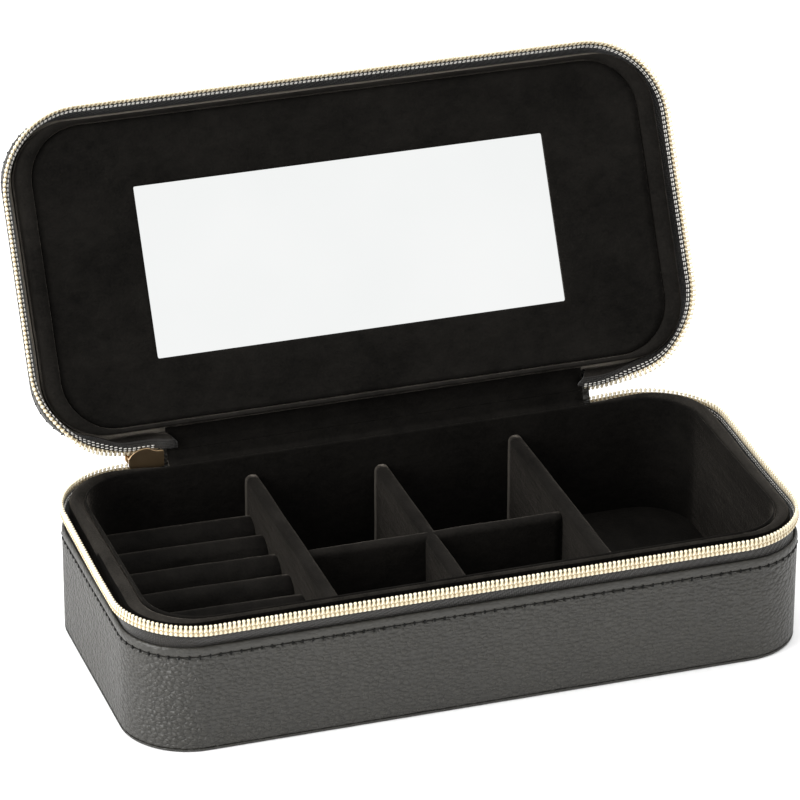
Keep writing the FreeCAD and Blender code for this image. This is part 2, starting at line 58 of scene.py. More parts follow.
MM = 0.001
CASE = (214.0, 102.5, 21.0)  # width, depth and corner radius
ZIP_CORNER = 24.5
TRAY = (198.0, 94.0, 17.0)
ZIP_PLANE = 42.6  # where the two zip rows meet in the shut case
LID_TOP_LEATHER = 57.8
LID_DRAFT = 0.85
STITCH_HEIGHT = 31.85
STITCH_PITCH = 3.15
TOOTH_PITCH = 1.42
LINING_ENDS = (-68.2, 68.4)
LEATHER_ENDS = (-71.0, 71.0)
ZIP_END = 69.0
FOLD_Y = 51.35
LOW_FOLD = 41.45
HIGH_FOLD = 50.8
LEAN = 20.0  # degrees that the spine leans back in the open case
LID_OPENING = 117.5  # degrees that the lid turns in all
TRAY_FLOOR = 4.2
WINDOW = (134.0, 53.6, 0.6)  # the mirror's opening
WINDOW_SHIFT = 0.7
SLIDER_RISE = 2.3


# ---- outlines


class Outline:
    """A rounded rectangle traced clockwise from the middle of its back edge.

    A point is named by u, from 0 to 9: the whole part picks one of nine lines
    and arcs, and the rest is the way along it. Two outlines match by u.
    """

    def __init__(self, size, shift=0.0):
        width, depth, self.radius = size
        self.half_x, self.half_y = width / 2, depth / 2
        self.shift = shift
        flat_x = self.half_x - self.radius
        flat_y = self.half_y - self.radius
        quarter = math.pi / 2 * self.radius
        self.flat_x, self.flat_y = flat_x, flat_y
        half_run = [flat_x, quarter, 2 * flat_y, quarter]
        self.lengths = np.array(half_run + [2 * flat_x] + half_run[::-1])
        self.starts = np.concatenate([[0.0], np.cumsum(self.lengths)])
        self.length = self.starts[-1]

    def split(self, u):
        """The line or arc of each u, and the share of it."""
        u = np.clip(np.asarray(u, float), 0.0, 8.999999)
        leg = u.astype(int)
        return leg, u - leg

    def point(self, u):
        """Positions and outward normals at u, each as an array of (x, y)."""
        leg, share = self.split(u)
        fx, fy, hx, hy, r = self.flat_x, self.flat_y, self.half_x, self.half_y, self.radius
        no = (0, 0)  # lines have no centre, and arcs have no ends of a line
        line_from = np.array([(0, hy), no, (hx, fy), no, (fx, -hy), no, (-hx, -fy), no, (-fx, hy)])
        line_to = np.array([(fx, hy), no, (hx, -fy), no, (-fx, -hy), no, (-hx, fy), no, (0, hy)])
        line_out = np.array([(0, 1), no, (1, 0), no, (0, -1), no, (-1, 0), no, (0, 1)])
        centre = np.array([no, (fx, fy), no, (fx, -fy), no, (-fx, -fy), no, (-fx, fy), no])
        first = np.radians([0, 90, 0, 0, 0, -90, 0, 180, 0])
        place = line_from[leg] + (line_to[leg] - line_from[leg]) * share[:, None]
        out = line_out[leg].astype(float)
        arc = leg % 2 == 1
        angle = first[leg] - share * math.pi / 2
        round_out = np.stack([np.cos(angle), np.sin(angle)], 1)
        place[arc] = (centre[leg] + round_out * r)[arc]
        out[arc] = round_out[arc]
        return place + (0.0, self.shift), out

    def u_at(self, s):
        """The u of each distance s along the outline."""
        s = np.clip(np.asarray(s, float), 0.0, self.length - 1e-6)
        leg = np.searchsorted(self.starts, s, side="right") - 1
        return leg + (s - self.starts[leg]) / self.lengths[leg]

    def s_at(self, u):
        """The distance along the outline of each u."""
        leg, share = self.split(u)
        return self.starts[leg] + share * self.lengths[leg]

    def spread(self, step, arc_steps, start=0.0, end=None):
        """u values from start to end (distances), no further apart than step."""
        end = self.length if end is None else end
        marks = [start]
        for leg in range(9):
            low, high = self.starts[leg], self.starts[leg + 1]
            count = arc_steps if leg % 2 else max(1, int(math.ceil((high - low) / step)))
            marks += list(np.linspace(low, high, count + 1))
        marks = {round(float(m), 5) for m in marks if start <= m <= end} | {round(end, 5)}
        marks = np.array(sorted(marks))
        keep = np.concatenate([[True], np.diff(marks) > 1e-3])
        return self.u_at(marks[keep])


case = Outline(CASE)
zip_line = Outline((CASE[0], CASE[1], ZIP_CORNER))
tray = Outline(TRAY)
window = Outline(WINDOW, shift=WINDOW_SHIFT)


def between(inner, outer, u, profile):
    """A grid of points (u, profile). Each profile entry is (share, outset, z)."""
    a, na = inner.point(u)
    b, nb = outer.point(u)
    rows = []
    for share, outset, z in profile:
        flat = (a + na * outset) * (1 - share) + (b + nb * outset) * share
        rows.append(np.column_stack([flat, np.full(len(flat), float(z))]))
    return np.stack(rows, 1)


def along(outline, u, profile):
    """A grid of points (u, profile) for entries (outset, z)."""
    return between(outline, outline, u, [(0, outset, z) for outset, z in profile])


# ---- the open lid


def turn_about(y, z, degrees):
    """The turn that opens a piece by degrees about the X line through y and z."""
    there = Matrix.Translation(Vector((0, y, z)))
    return there @ Matrix.Rotation(math.radians(-degrees), 4, "X") @ there.inverted()


SPINE_OPEN = turn_about(FOLD_Y, LOW_FOLD, LEAN)
LID_OPEN = SPINE_OPEN @ turn_about(FOLD_Y, HIGH_FOLD, LID_OPENING - LEAN)


def turned(points, matrix):
    """Points, in a list or a grid, after the turn."""
    m = np.array(matrix)
    points = np.asarray(points, float)
    return (points.reshape(-1, 3) @ m[:3, :3].T + m[:3, 3]).reshape(points.shape)


def opened(points):
    """Points of the shut lid where they are in the open lid."""
    return turned(points, LID_OPEN)


# ---- meshes


def linked(name, data):
    """A new object in the scene."""
    thing = bpy.data.objects.new(name, data)
    scene.collection.objects.link(thing)
    return thing


def make_object(name, points, faces, material, smooth=True, uv=None):
    """A mesh object from points in millimetres, with its faces turned outward."""
    mesh = bpy.data.meshes.new(name)
    mesh.from_pydata((np.asarray(points) * MM).tolist(), [], faces)
    if uv is not None:
        layer = mesh.uv_layers.new(name="run")
        layer.data.foreach_set("uv", (np.asarray(uv) * MM).astype(np.float32).ravel())
    outward = bmesh.new()
    outward.from_mesh(mesh)
    bmesh.ops.recalc_face_normals(outward, faces=outward.faces)
    outward.to_mesh(mesh)
    outward.free()
    mesh.polygons.foreach_set("use_smooth", [smooth] * len(mesh.polygons))
    mesh.update()
    mesh.materials.append(material)
    return linked(name, mesh)


def grid_faces(rows, columns, wrap_rows, wrap_columns):
    """Four-sided faces between the points of a grid, closed round where it wraps."""
    faces = []
    for i in range(rows if wrap_rows else rows - 1):
        for j in range(columns if wrap_columns else columns - 1):
            k, m = (i + 1) % rows, (j + 1) % columns
            faces.append((i * columns + j, k * columns + j, k * columns + m, i * columns + m))
    return faces


def skin(name, grid, material, wrap=True):
    """A mesh over a grid (along the run, round the closed profile), with a run UV."""
    rows, columns, _ = grid.shape
    faces = grid_faces(rows, columns, wrap, True)
    run = np.linalg.norm(np.diff(grid, axis=0, append=grid[:1]), axis=2).mean(1)
    run = np.concatenate([[0.0], np.cumsum(run)])
    across = np.linalg.norm(np.diff(grid, axis=1, append=grid[:, :1]), axis=2).mean(0)
    across = np.concatenate([[0.0], np.cumsum(across)])
    uv = []
    for i in range(rows if wrap else rows - 1):
        for j in range(columns):
            near, far = across[j], across[j + 1]
            uv += [(run[i], near), (run[i + 1], near), (run[i + 1], far), (run[i], far)]
    if not wrap:
        first = tuple(range(columns))
        last = tuple((rows - 1) * columns + j for j in range(columns))[::-1]
        faces += [first, last]
        uv += [(0.0, 0.0)] * (2 * columns)
    return make_object(name, grid.reshape(-1, 3), faces, material, uv=uv)


def bar_template(stations, sides=8):
    """A closed bar along its first axis.

    Each station is (way, half width, half height, lift) and may add a sideways shift.
    """
    points, faces = [], []
    for way, half_width, half_height, lift, *shift in stations:
        for k in range(sides):
            angle = 2 * math.pi * (k + 0.5) / sides
            across = half_width * math.cos(angle) + (shift[0] if shift else 0.0)
            points.append((way, across, lift + half_height * math.sin(angle)))
    count = len(stations)
    for i in range(count - 1):
        for k in range(sides):
            m = (k + 1) % sides
            faces.append((i * sides + k, i * sides + m, (i + 1) * sides + m, (i + 1) * sides + k))
    faces.append(tuple(range(sides))[::-1])
    faces.append(tuple((count - 1) * sides + k for k in range(sides)))
    return np.array(points), faces


def stamp(template, origins, first, second, third):
    """Copies of a template, one for each frame; returns points and faces."""
    points, faces = template
    laid = origins[:, None, :]
    for k, way in enumerate((first, second, third)):
        laid = laid + points[None, :, k : k + 1] * way[:, None, :]
    count = len(points)
    every = [tuple(v + n * count for v in face) for n in range(len(origins)) for face in faces]
    return laid.reshape(-1, 3), every


def gathered(*parts):
    """The (points, faces) of several parts as one."""
    points, faces, count = [], [], 0
    for part_points, part_faces in parts:
        faces += [tuple(v + count for v in face) for face in part_faces]
        points.append(part_points)
        count += len(part_points)
    return np.concatenate(points), faces


def smooth_noise(points, size, seed):
    """Soft noise between about -1 and 1, made of a few waves of that size."""
    waves = np.random.default_rng(seed)
    total = np.zeros(len(points))
    for _ in range(7):
        direction = waves.normal(size=3)
        direction /= np.linalg.norm(direction)
        wave = 2 * math.pi / (size * waves.uniform(0.6, 1.6))
        total += np.sin(points @ direction * wave + waves.uniform(0, 6.28))
    return total / 7 * 1.6


def settle(piece, body, slot, *nodes):
    """Ride a finished piece on its body, and hide the CAD parts that it stands for."""
    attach(piece, body)
    if nodes:
        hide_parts(*nodes)


# ---- materials


class Paint:
    """A material's node tree with short calls for the nodes used here."""

    def __init__(self, name):
        self.material = bpy.data.materials.new(name)
        self.material.use_nodes = True
        self.nodes = self.material.node_tree.nodes
        self.links = self.material.node_tree.links
        self.shader = self.nodes["Principled BSDF"]
        self.place = self.nodes.new("ShaderNodeTexCoord").outputs["Object"]

    def feed(self, node, **inputs):
        """Sets a node's inputs: a number or colour is set, an output is linked."""
        for key, value in inputs.items():
            socket = node.inputs[key.replace("_", " ")]
            if isinstance(value, bpy.types.NodeSocket):
                self.links.new(value, socket)
            else:
                socket.default_value = value
        return node

    def make(self, kind, **inputs):
        return self.feed(self.nodes.new("ShaderNode" + kind), **inputs)

    def set(self, **inputs):
        self.feed(self.shader, **inputs)

    def stretch(self, source, scale):
        return self.make("Mapping", Vector=source, Scale=scale).outputs["Vector"]

    def noise(self, scale, detail=3.0, rough=0.5, source=None):
        source = source or self.place
        node = self.make("TexNoise", Vector=source, Scale=scale, Detail=detail, Roughness=rough)
        return node.outputs["Fac"]

    def cells(self, scale, feature, source, smooth=0.5):
        node = self.make("TexVoronoi", Vector=source, Scale=scale)
        node.feature = feature
        if feature == "SMOOTH_F1":
            self.feed(node, Smoothness=smooth)
        return node.outputs["Distance"]

    def wave(self, scale, source, direction):
        node = self.make("TexWave", Vector=source, Scale=scale)
        node.bands_direction = direction
        return node.outputs["Fac"]

    def sum(self, operation, one, two):
        node = self.make("Math")
        node.operation = operation
        for socket, value in zip(node.inputs, (one, two)):
            if isinstance(value, (int, float)):
                socket.default_value = value
            else:
                self.links.new(value, socket)
        return node.outputs["Value"]

    def mix(self, *parts):
        """The sum of (value, weight) pairs."""
        total = None
        for value, weight in parts:
            part = value if weight == 1 else self.sum("MULTIPLY", value, weight)
            total = part if total is None else self.sum("ADD", total, part)
        return total

    def spread(self, value, low, high, to_low, to_high):
        node = self.make("MapRange", Value=value, From_Min=low, From_Max=high)
        return self.feed(node, To_Min=to_low, To_Max=to_high).outputs["Result"]

    def tint(self, value, *stops):
        """Sends a ramp of colours to the shader's base colour."""
        node = self.make("ValToRGB", Fac=value)
        ramp = node.color_ramp
        while len(ramp.elements) < len(stops):
            ramp.elements.new(0.5)
        for element, (where, colour) in zip(ramp.elements, stops):
            element.position = where
            element.color = (*colour, 1.0)
        self.set(Base_Color=node.outputs["Color"])

    def bump(self, height, distance, strength=1.0):
        """Sends a height to the shader's normal."""
        node = self.make("Bump", Height=height, Distance=distance, Strength=strength)
        self.set(Normal=node.outputs["Normal"])

    def rough(self, value, to_low, to_high, low=0.3, high=0.7):
        """Sends a mapped value to the shader's roughness."""
        self.set(Roughness=self.spread(value, low, high, to_low, to_high))


PEBBLES = 680  # pebbles of the leather in a metre, about


def leather_paint(name, grain=1.0):
    """Black pebbled leather with a soft satin finish."""
    paint = Paint(name)
    stretched = paint.stretch(paint.place, (0.75, 0.9, 1.1))
    wander = paint.make("TexNoise", Vector=stretched, Scale=330)
    warp = paint.make("VectorMath")
    warp.operation = "MULTIPLY_ADD"
    paint.links.new(wander.outputs["Color"], warp.inputs[0])
    warp.inputs[1].default_value = (0.0009, 0.0009, 0.0009)
    paint.links.new(stretched, warp.inputs[2])
    place = warp.outputs["Vector"]
    pebble = paint.cells(PEBBLES, "SMOOTH_F1", place, 0.45)
    creases = paint.cells(PEBBLES, "DISTANCE_TO_EDGE", place)
    fine = paint.noise(2200)
    swell = paint.noise(260, 2.0)
    patches = paint.noise(28)
    dome = paint.spread(pebble, 0.05, 0.75, 1.0, 0.0)
    crack = paint.spread(creases, 0.0, 0.16, 0.0, 1.0)
    height = paint.mix((dome, 0.75), (crack, 0.22), (fine, 0.04), (swell, 0.4))
    # The colour is lighter on the pebbles' domes and darker in the creases, painted shade, mixed with
    # patches that differ at random.
    tone = paint.mix((dome, 0.4), (patches, 0.6))
    paint.tint(tone, (0.15, (0.0168, 0.0157, 0.0126)), (0.9, (0.0345, 0.0322, 0.0262)))
    paint.rough(paint.mix((fine, 1), (patches, 1)), 0.42, 0.52, 0.6, 1.4)
    paint.bump(height, 0.0007 * grain)
    paint.set(Specular_IOR_Level=0.48)
    return paint.material


def velvet_paint(name, tone=1.0, sheen=0.3):
    """Black velvet: a deep base, brushed patches of nap and a grey sheen at grazing angles."""
    paint = Paint(name)
    patches = paint.noise(48, 4.0, 0.6)
    brushed = paint.noise(240, 3.0, 0.65, paint.stretch(paint.place, (1.0, 0.35, 1.6)))
    fuzz = paint.noise(1500, 3.0, 0.75)
    nap = paint.mix((patches, 0.36), (brushed, 0.22), (fuzz, 0.42))
    dark = tuple(level * tone for level in (0.0020, 0.0018, 0.0015))
    light = tuple(level * tone for level in (0.0104, 0.0093, 0.0080))
    paint.tint(nap, (0.36, dark), (0.68, light))
    paint.rough(fuzz, 0.82, 1.0)
    paint.bump(paint.mix((fuzz, 0.5), (brushed, 1)), 0.00034, 0.9)
    paint.set(Sheen_Weight=sheen, Sheen_Roughness=0.24, Sheen_Tint=(0.62, 0.55, 0.47, 1.0))
    paint.set(Specular_IOR_Level=0.05)
    return paint.material


def tape_paint(name):
    """Woven zip tape: fine twill threads along and across the run."""
    paint = Paint(name)
    uv = paint.make("UVMap")
    uv.uv_map = "run"
    run = uv.outputs["UV"]
    warp = paint.wave(560, run, "X")
    weft = paint.wave(430, run, "Y")
    twill = paint.wave(250, run, "DIAGONAL")
    weave = paint.sum("MULTIPLY", warp, weft)
    patches = paint.noise(120)
    tone = paint.mix((weave, 0.5), (patches, 0.5))
    paint.tint(tone, (0.2, (0.010, 0.009, 0.008)), (0.75, (0.034, 0.031, 0.027)))
    paint.rough(patches, 0.65, 0.85)
    paint.bump(paint.mix((weave, 1), (twill, 0.6)), 0.00016, 0.9)
    paint.set(Sheen_Weight=0.25, Sheen_Roughness=0.4, Specular_IOR_Level=0.3)
    return paint.material


def coil_paint(name):
    """Lacquered pale gold coil, a little darker in patches."""
    paint = Paint(name)
    patches = paint.noise(420)
    fine = paint.noise(3000, 2.0)
    paint.tint(patches, (0.3, (0.70, 0.61, 0.43)), (0.7, (0.82, 0.75, 0.58)))
    paint.rough(fine, 0.3, 0.46)
    paint.bump(fine, 0.00003, 0.4)
    paint.set(Metallic=0.3)
    return paint.material


def metal_paint(name):
    """Polished gold-coloured zinc with faint brushing and wear."""
    paint = Paint(name)
    brushed = paint.noise(70, 2.0, 0.5, paint.stretch(paint.place, (0.3, 1.0, 3.0)))
    patches = paint.noise(90)
    paint.tint(patches, (0.3, (0.46, 0.31, 0.17)), (0.75, (0.60, 0.43, 0.25)))
    paint.rough(brushed, 0.3, 0.36)
    paint.set(Metallic=1.0)
    return paint.material


def thread_paint(name, dark, light):
    """Twisted sewing thread."""
    paint = Paint(name)
    twist = paint.wave(1500, paint.stretch(paint.place, (1.0, 1.0, 0.6)), "DIAGONAL")
    patches = paint.noise(600, 2.0)
    tone = paint.mix((twist, 0.5), (patches, 0.5))
    paint.tint(tone, (0.2, dark), (0.8, light))
    paint.rough(patches, 0.55, 0.75)
    paint.bump(twist, 0.00004, 0.6)
    paint.set(Specular_IOR_Level=0.15)
    return paint.material


def board_paint(name, dark, light, scale):
    """Pressed board or foam that stays out of sight inside the case."""
    paint = Paint(name)
    fibres = paint.noise(scale, 5.0, 0.7, paint.stretch(paint.place, (1.0, 2.2, 1.0)))
    paint.tint(fibres, (0.3, dark), (0.7, light))
    paint.rough(fibres, 0.8, 0.95)
    paint.bump(fibres, 0.0001, 0.6)
    return paint.material


def mirror_paint(name):
    """Silvered glass with the faintest unevenness."""
    paint = Paint(name)
    haze = paint.noise(18)
    paint.tint(haze, (0.3, (0.93, 0.945, 0.94)), (0.7, (0.965, 0.975, 0.97)))
    paint.rough(haze, 0.015, 0.03)
    paint.set(Metallic=1.0)
    return paint.material


leather = leather_paint("pebbled_leather")
smooth_leather = leather_paint("turned_leather", 0.3)
velvet = velvet_paint("black_velvet", 0.85)
# A lighter copy of the black velvet: painted highlight for the sheen on rounded rims.
velvet_painted_rim_light = velvet_paint("velvet_rims_painted_highlight", 2.5)
# A slightly lighter copy of the black velvet: painted faint highlight along the lid's rim.
velvet_lid_painted_rim_light = velvet_paint("velvet_lid_rim_painted_light", 1.15, 0.24)
# A much darker copy of the black velvet: painted shade for the gap behind the zip.
velvet_painted_gap_shade = velvet_paint("velvet_painted_shade_in_gap", 0.3, 0.04)
# A lighter copy of the black velvet: painted sheen on the velvet over the end tapes.
velvet_painted_sheen = velvet_paint("velvet_painted_sheen_patch", 2.2, 0.5)
velvet_soft = velvet_paint("divider_velvet", 1.15, 0.26)
tape = tape_paint("zip_tape_twill")
coil = coil_paint("pale_gold_coil")
gold = metal_paint("gold_metal")
dark_thread = thread_paint("black_thread", (0.0015, 0.0015, 0.0014), (0.005, 0.005, 0.0045))
tan_thread = thread_paint("tan_thread", (0.30, 0.22, 0.12), (0.52, 0.42, 0.26))
white_thread = thread_paint("white_thread", (0.62, 0.60, 0.55), (0.86, 0.84, 0.80))
board = board_paint("grey_board", (0.26, 0.23, 0.19), (0.40, 0.36, 0.30), 900)
foam = board_paint("grey_foam", (0.10, 0.10, 0.10), (0.18, 0.18, 0.18), 2500)
mirror = mirror_paint("silvered_glass")

NODE_PAINT = {
    "base_bottom_leather": leather, "tray_floor_pad": velvet, "mirror_glass": mirror, "lid_foam": foam,
}
for node_name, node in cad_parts.items():
    node.data.materials.clear()
    node.data.materials.append(NODE_PAINT.get(node_name, board))


# ---- leather shells

WALL_PROFILE = [
    (-1.0, 1.1), (-0.55, 1.04), (-0.2, 1.16), (-0.04, 1.5), (0.0, 2.4), (0.0, 6.0), (0.0, 12.0),
    (0.0, 18.0), (0.0, 24.0), (0.02, 28.5), (0.04, 30.2), (0.0, 31.0), (-0.12, 31.35), (-0.3, 31.6),
    (-0.36, 31.85), (-0.3, 32.1), (-0.1, 32.35), (0.04, 32.8), (0.1, 33.4), (0.06, 34.1), (-0.1, 34.6),
    (-0.4, 34.93), (-0.75, 34.95), (-1.05, 34.7), (-1.15, 34.2), (-1.15, 31.0), (-1.1, 16.0),
]
LID_WALL_PROFILE = [
    (outset, 2 * ZIP_PLANE - z if z > 27 else LID_TOP_LEATHER - (z - 1.1) * 0.1)
    for outset, z in WALL_PROFILE[::-1]
    if z > 27 or z < 2.0
]
DRAFT_FROM, DRAFT_HEIGHT = 53.6, 4.0
LID_WALL_PROFILE = [
    (outset - LID_DRAFT * min(1.0, max(0.0, (z - DRAFT_FROM) / DRAFT_HEIGHT)), z)
    for outset, z in LID_WALL_PROFILE
]


def second_paint(piece, material, matches):
    """Gives the faces that match a second material."""
    piece.data.materials.append(material)
    for face in piece.data.polygons:
        if matches(face):
            face.material_index = 1


def soften(grid, amount, size, seed):
    """Pushes a grid's points a little in and out of its surface."""
    flat = grid.reshape(-1, 3).copy()
    push = smooth_noise(flat, size, seed) * amount
    out = flat[:, :2] / np.maximum(np.linalg.norm(flat[:, :2], axis=1), 1e-6)[:, None]
    flat[:, :2] += out * push[:, None]
    return flat.reshape(grid.shape)


wall_u = case.spread(3.0, 24)[:-1]
base_cover = soften(along(case, wall_u, WALL_PROFILE), 0.05, 34.0, 3)
base_cover = skin("base_leather_cover", base_cover, leather)
second_paint(base_cover, smooth_leather, lambda face: face.center.z / MM > STITCH_HEIGHT)
settle(base_cover, "base", "base_leather", "base_leather_wall")

LID_STITCH_HEIGHT = 2 * ZIP_PLANE - STITCH_HEIGHT
TO_SHUT = LID_OPEN.inverted()
lid_cover = skin("lid_leather_cover", opened(along(case, wall_u, LID_WALL_PROFILE)), leather)
second_paint(lid_cover, smooth_leather, lambda face: (TO_SHUT @ (face.center / MM)).z < LID_STITCH_HEIGHT)
settle(lid_cover, "lid", "lid_leather", "lid_leather_wall")


def crowned_lid():
    """The lid's top: a leather panel that is softly padded, with a welt round its edge."""
    u = case.spread(4.0, 20)[:-1]
    rings = [
        (0.6, 57.82), (0.1, 57.84), (-0.1, 58.0), (0.0, 58.35), (0.25, 58.7), (0.9, 58.85),
        (1.6, 58.72), (2.2, 58.55), (3.2, 58.75), (6.0, 59.2), (12.0, 59.6), (20.0, 59.8),
    ]
    points = along(case, u, [(-inset - LID_DRAFT, z) for inset, z in rings]).reshape(-1, 3)
    columns = len(rings)
    faces = grid_faces(len(u), columns, True, False)
    faces.append(tuple(i * columns + columns - 1 for i in range(len(u))))
    faces.append(tuple(i * columns for i in range(len(u)))[::-1])
    return make_object("lid_top_cover", opened(points), faces, leather)


settle(crowned_lid(), "lid", "lid_leather", "lid_top_leather")


# ---- stitches

STITCH_DEPTH, STITCH_GAP = 0.2, 0.2


def directions(outline, s):
    """Places at height 0 at distances s along an outline, and the ways outward, along it and up."""
    place, out = outline.point(outline.u_at(s))
    none = np.zeros(len(s))
    tangent = np.column_stack([out[:, 1], -out[:, 0], none])
    up = np.tile([0.0, 0.0, 1.0], (len(s), 1))
    return np.column_stack([place, none]), np.column_stack([out, none]), tangent, up


def stitch_rows(height, body):
    """Lock stitches in the groove, with a small upright pull at each needle hole."""
    count = int(round(case.length / STITCH_PITCH))
    place, normal, tangent, up = directions(case, (np.arange(count) + 0.5) * case.length / count)
    origin = place + up * height - normal * STITCH_DEPTH
    half = STITCH_PITCH / 2 - STITCH_GAP
    long_stitch = bar_template([
        (-half - 0.1, 0.04, 0.04, -0.3), (-half, 0.07, 0.07, -0.1), (-half * 0.55, 0.08, 0.08, -0.03),
        (0.0, 0.085, 0.085, -0.02),
        (half * 0.55, 0.08, 0.08, -0.03), (half, 0.07, 0.07, -0.1), (half + 0.1, 0.04, 0.04, -0.3),
    ], 6)
    hole = bar_template([
        (-0.66, 0.07, 0.06, 0.04), (-0.5, 0.3, 0.22, 0.16),
        (0.5, 0.3, 0.22, 0.16), (0.66, 0.07, 0.06, 0.04),
    ], 6)
    between_stitches = origin + tangent * (STITCH_PITCH / 2)
    points, faces = gathered(
        stamp(long_stitch, origin, tangent, up, normal),
        stamp(hole, between_stitches, up, tangent, normal),
    )
    if body == "lid":
        points = opened(points)
    settle(make_object(body + "_stitches", points, faces, dark_thread), body, "thread", body + "_stitching")


stitch_rows(STITCH_HEIGHT, "base")
stitch_rows(LID_STITCH_HEIGHT, "lid")


# ---- zip

# (outset, z) of a tooth's head and tail. The lid's are turned over about ZIP_PLANE.
HEAD = (0.55, 42.35)
TAIL = (0.62, 38.9)
LID_HEAD = (1.75, 42.15)
TAPE_CENTRE = [
    (0.0, -1.55, 33.4), (0.0, -1.5, 34.6), (0.15, -1.3, 35.6), (0.4, -0.85, 36.7), (0.7, -0.35, 37.6),
    (0.9, -0.02, 38.4), (1.0, 0.08, 39.2), (1.0, 0.06, 40.0), (1.0, 0.04, 40.4),
]
TAPE_HALF = 0.15  # half the tape's thickness


def thick(centre):
    """The tape's closed profile round a centre line of (share, outset, z) entries."""
    line = np.array([(outset, z) for _, outset, z in centre])
    way = np.gradient(line, axis=0)
    way /= np.linalg.norm(way, axis=1)[:, None]
    side = np.column_stack([way[:, 1], -way[:, 0]]) * TAPE_HALF
    outer = [(entry[0], *spot) for entry, spot in zip(centre, line + side)]
    inner = [(entry[0], *spot) for entry, spot in zip(centre, line - side)]
    return outer + inner[::-1]


HALF_PITCH = TOOTH_PITCH / 2

OUTER_STRAND = bar_template([
    (-0.02, 0.3, 0.28, 0.0), (0.07, 0.48, 0.44, 0.0), (0.28, 0.56, 0.5, 0.0), (0.55, 0.54, 0.46, 0.02),
    (0.8, 0.4, 0.34, 0.06), (1.2, 0.37, 0.28, 0.1), (1.5, 0.52, 0.34, 0.2), (1.75, 0.7, 0.38, 0.27),
    (2.1, 0.7, 0.34, 0.22), (2.35, 0.66, 0.28, 0.14), (2.6, 0.71, 0.34, 0.24), (2.95, 0.72, 0.36, 0.28),
    (3.2, 0.66, 0.3, 0.22), (3.38, 0.44, 0.18, 0.12), (3.46, 0.18, 0.09, 0.08),
])
INNER_STRAND = bar_template([
    (0.5, 0.28, 0.2, -0.26), (0.9, 0.37, 0.24, -0.3, 0.04), (1.5, 0.35, 0.24, -0.32, 0.2),
    (2.2, 0.37, 0.22, -0.3, 0.42), (2.9, 0.37, 0.2, -0.26, HALF_PITCH),
    (3.2, 0.2, 0.12, -0.2, HALF_PITCH),
], 6)
CHAIN_LOOP = bar_template([
    (1.6, 0.08, 0.08, 0.5, 0.0), (1.8, 0.2, 0.13, 0.6, 0.05), (2.15, 0.2, 0.13, 0.46, HALF_PITCH * 0.5),
    (2.45, 0.2, 0.13, 0.44, HALF_PITCH * 0.8), (2.85, 0.22, 0.14, 0.56, HALF_PITCH * 0.98),
    (3.05, 0.1, 0.08, 0.46, HALF_PITCH),
], 6)
SEWING = bar_template([
    (-0.5, 0.06, 0.05, 0.0), (-0.38, 0.19, 0.15, 0.03), (0.38, 0.19, 0.15, 0.03), (0.5, 0.06, 0.05, 0.0),
], 6)

# Distances down the teeth from their heads, and under their outer side.
CORD_DOWN, SEWING_ROWS, SEWING_DEPTH = 2.15, (2.55, 3.4), 0.68

# How far the base's row is pulled up at its two ends.
LEFT_RISE, RIGHT_RISE = 1.7, 1.6


def eased(value, low, high):
    """From 0 at low to 1 at high, with soft ends."""
    share = np.clip((value - low) / (high - low), 0, 1)
    return share * share * (3 - 2 * share)


def row_rise(s):
    """Near the hinge the opened lid pulls the base's row up a little."""
    end = np.minimum(s, zip_line.length - s)
    rise = (0.45 + 0.55 * eased(end, 62.0, 86.0)) * (1 - eased(end, 112.0, 165.0))
    return rise * np.where(s > zip_line.length / 2, LEFT_RISE, RIGHT_RISE)


def zip_frames(s, upper):
    """Frames of the zip at distances s: origin at the head, tangent, axis to the tail, outward side."""
    place, normal, tangent, up = directions(zip_line, s)
    head = np.array(LID_HEAD if upper else HEAD)
    axis = (TAIL - head) / np.linalg.norm(TAIL - head)
    origin = place + up * head[1] + normal * head[0]
    way = normal * axis[0] + up * axis[1]
    side = up * axis[0] - normal * axis[1]
    if upper:
        origin[:, 2] = 2 * ZIP_PLANE - origin[:, 2]
        way[:, 2] *= -1
        side[:, 2] *= -1
    else:
        origin[:, 2] += row_rise(s)
    return origin, tangent, way, side


def coil_teeth(origin, tangent, way, side):
    """The coil: each turn has an outer strand with the head and a slanting inner strand."""
    return gathered(*(stamp(strand, origin, way, tangent, side) for strand in (OUTER_STRAND, INNER_STRAND)))


def coil_chain(origin, tangent, way, side):
    """The tan chain stitch over the coil's outer side, and the cord inside the coil."""
    cord = bar_template([(-HALF_PITCH, 1.05, 0.16, -0.06), (HALF_PITCH, 1.05, 0.16, -0.06)], 8)
    return gathered(
        stamp(CHAIN_LOOP, origin, way, tangent, side),
        stamp(CHAIN_LOOP, origin, way, -tangent, side),
        stamp(cord, origin + way * CORD_DOWN, tangent, way, side),
    )


def tape_sewing(origin, tangent, way, side):
    """Two rows of white thread on the inner face of the tape."""
    rows = (origin + way * down - side * SEWING_DEPTH for down in SEWING_ROWS)
    return gathered(*(stamp(SEWING, row, tangent, way, -side) for row in rows))


ZIP_PARTS = (
    ("teeth", coil_teeth, coil, "zip_coil"),
    ("chain", coil_chain, tan_thread, "zip_coil"),
    ("sewing", tape_sewing, white_thread, "thread"),
)


def zip_pieces(name, frames, place=np.asarray):
    """The teeth, chain and sewing along frames of the zip; place moves their points."""
    for kind, make, paint, slot in ZIP_PARTS:
        points, faces = make(*frames)
        yield make_object(name % kind, place(points), faces, paint), kind, slot


def lay_zip(body, start, end, place=np.asarray):
    """The row of a body between two distances along the zip line."""
    frames = zip_frames(tooth_places(start, end), body == "lid")
    for piece, kind, slot in zip_pieces(body + "_zip_%s", frames, place):
        settle(piece, body, slot, *([body + "_zip_coil"] if kind == "teeth" else []))


def tooth_places(start, end):
    """The distances of the teeth between two distances along the zip line."""
    count = int((end - start) / TOOTH_PITCH)
    return start + (np.arange(count) + 0.5) * (end - start) / count


BEND_X = 104.0  # where the lid's row leaves the lid, on each side


